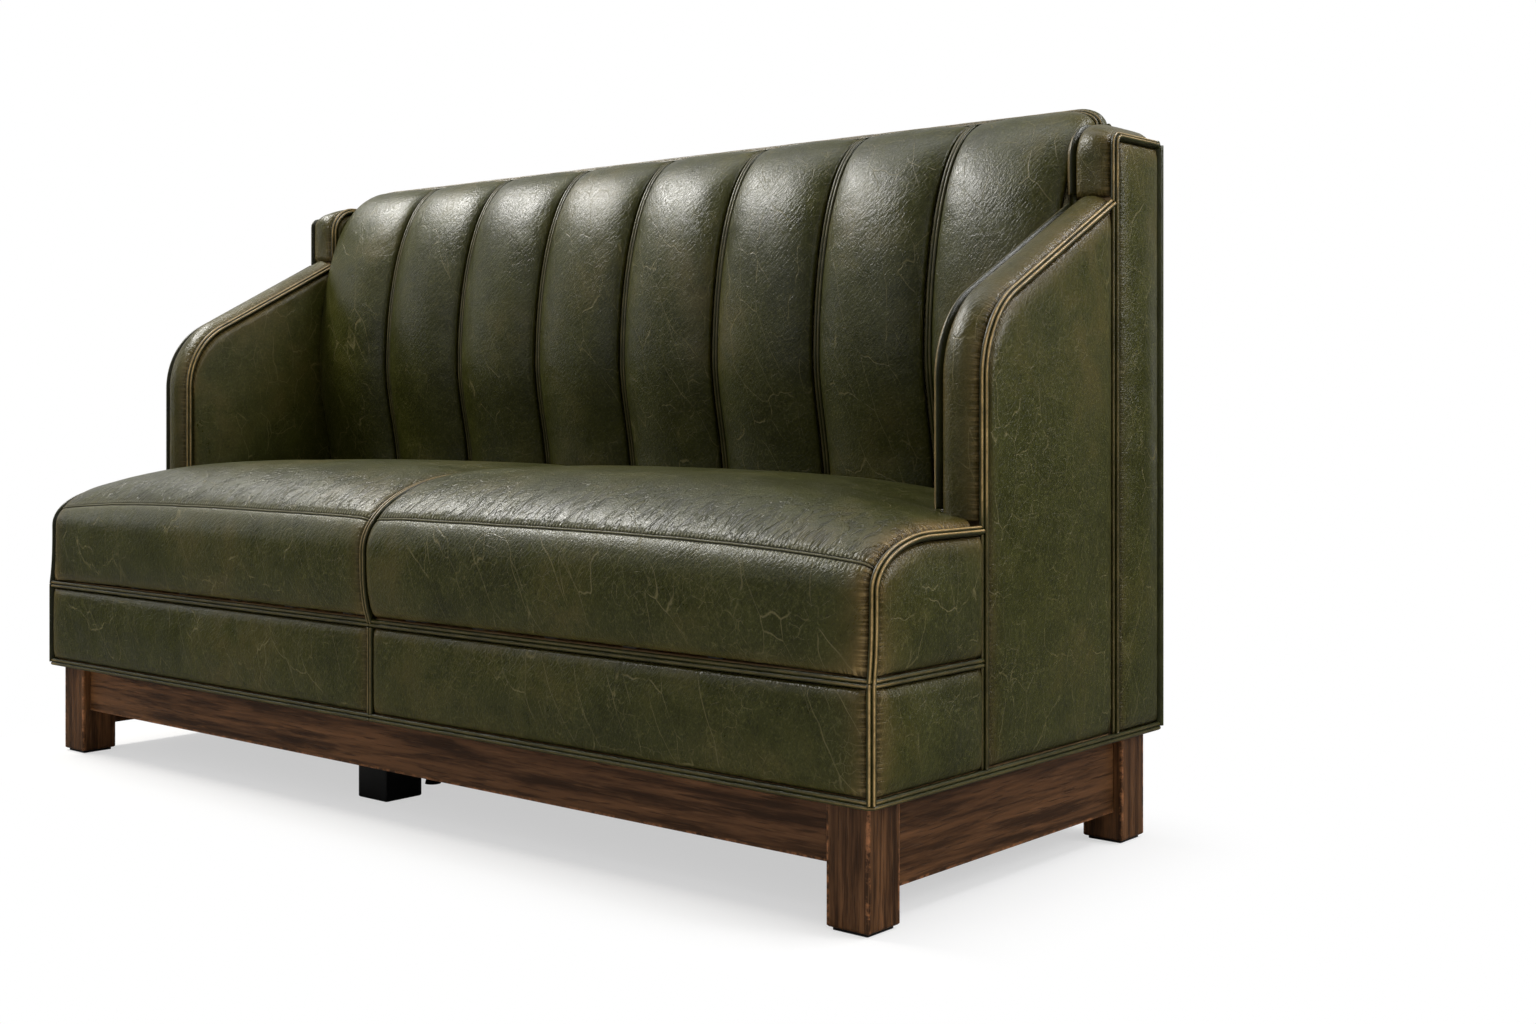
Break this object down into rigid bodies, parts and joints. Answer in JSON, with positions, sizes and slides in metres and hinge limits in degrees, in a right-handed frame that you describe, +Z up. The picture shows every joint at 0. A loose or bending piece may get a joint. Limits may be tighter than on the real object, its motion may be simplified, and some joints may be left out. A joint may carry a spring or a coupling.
{
  "type": "upholstered banquette bench",
  "caption": "Free-standing banquette bench: channelled back, sloping padded arms, tight crowned seat, piped leather, dark wooden base with square legs, and an adjustable middle foot.",
  "frame": {"origin": "on the floor, under the middle of the bench's length and depth", "axes": "+X along the bench to the right as seen from the front, +Y to the rear, +Z up"},
  "size_m": [1.706, 0.663, 0.9679],
  "materials": {
    "leather": "satin pull-up leather, fine grain, lighter where it is stretched",
    "piping_leather": "the same leather over cord, rubbed to bronze on its ridge",
    "walnut": "dark walnut stain, satin, edges rubbed",
    "beech": "bare planed hardwood",
    "plywood": "bare plywood",
    "black_lacquer": "black lacquer on wood, satin",
    "black_plastic": "matt black",
    "black_rubber": "matt",
    "steel": "zinc plated",
    "cambric": "woven, black",
    "hessian": "plain open weave",
    "foam": "open-cell upholstery foam, bare"
  },
  "bodies": {
    "bench": {"leg_front_left": "walnut", "leg_front_right": "walnut", "leg_rear_left": "walnut", "leg_rear_right": "walnut", "leg_glides": "black_plastic", "base_rail_front": "walnut", "base_rail_rear": "walnut", "base_rail_left": "walnut", "base_rail_right": "walnut", "base_stretcher": "beech", "base_corner_blocks": "beech", "dowels": "beech", "centre_leg": "black_lacquer", "foot_nut": "steel", "dust_cover": "cambric", "seat_rail_front": "beech", "seat_rail_rear": "beech", "seat_side_rails": "beech", "seat_cross_rail": "beech", "seat_corner_blocks": "beech", "spring_rail": "beech", "seat_springs": "steel", "spring_clips": "steel", "deck_cloth": "hessian", "bolts": "steel", "seat_foam": "foam", "seat_cover_left": "leather", "seat_cover_right": "leather", "seat_side_left": "leather", "seat_side_right": "leather", "apron_front_left": "leather", "apron_front_right": "leather", "apron_side_left": "leather", "apron_side_right": "leather", "seat_welts": "piping_leather", "gable_left": "plywood", "gable_right": "plywood", "arm_boxing_left": "leather", "arm_boxing_right": "leather", "arm_inner_left": "leather", "arm_inner_right": "leather", "arm_outer_left": "leather", "arm_outer_right": "leather", "arm_welts": "piping_leather", "back_post_left": "plywood", "back_post_right": "plywood", "back_mid_rail": "beech", "back_top_rail": "beech", "back_board": "plywood", "back_foam": "foam", "back_channels": "leather", "back_top_band": "leather", "back_end_left": "leather", "back_end_right": "leather", "back_strips": "leather", "rear_cover": "leather", "back_welts": "piping_leather"},
    "levelling_foot": {"foot_stem": "steel", "foot_pad": "black_rubber"}
  },
  "joints": [
    {"name": "foot_height", "type": "slide", "parent": "bench", "child": "levelling_foot", "axis": [0, 0, 1], "range_m": [-0.012, 0.01]}
  ]
}
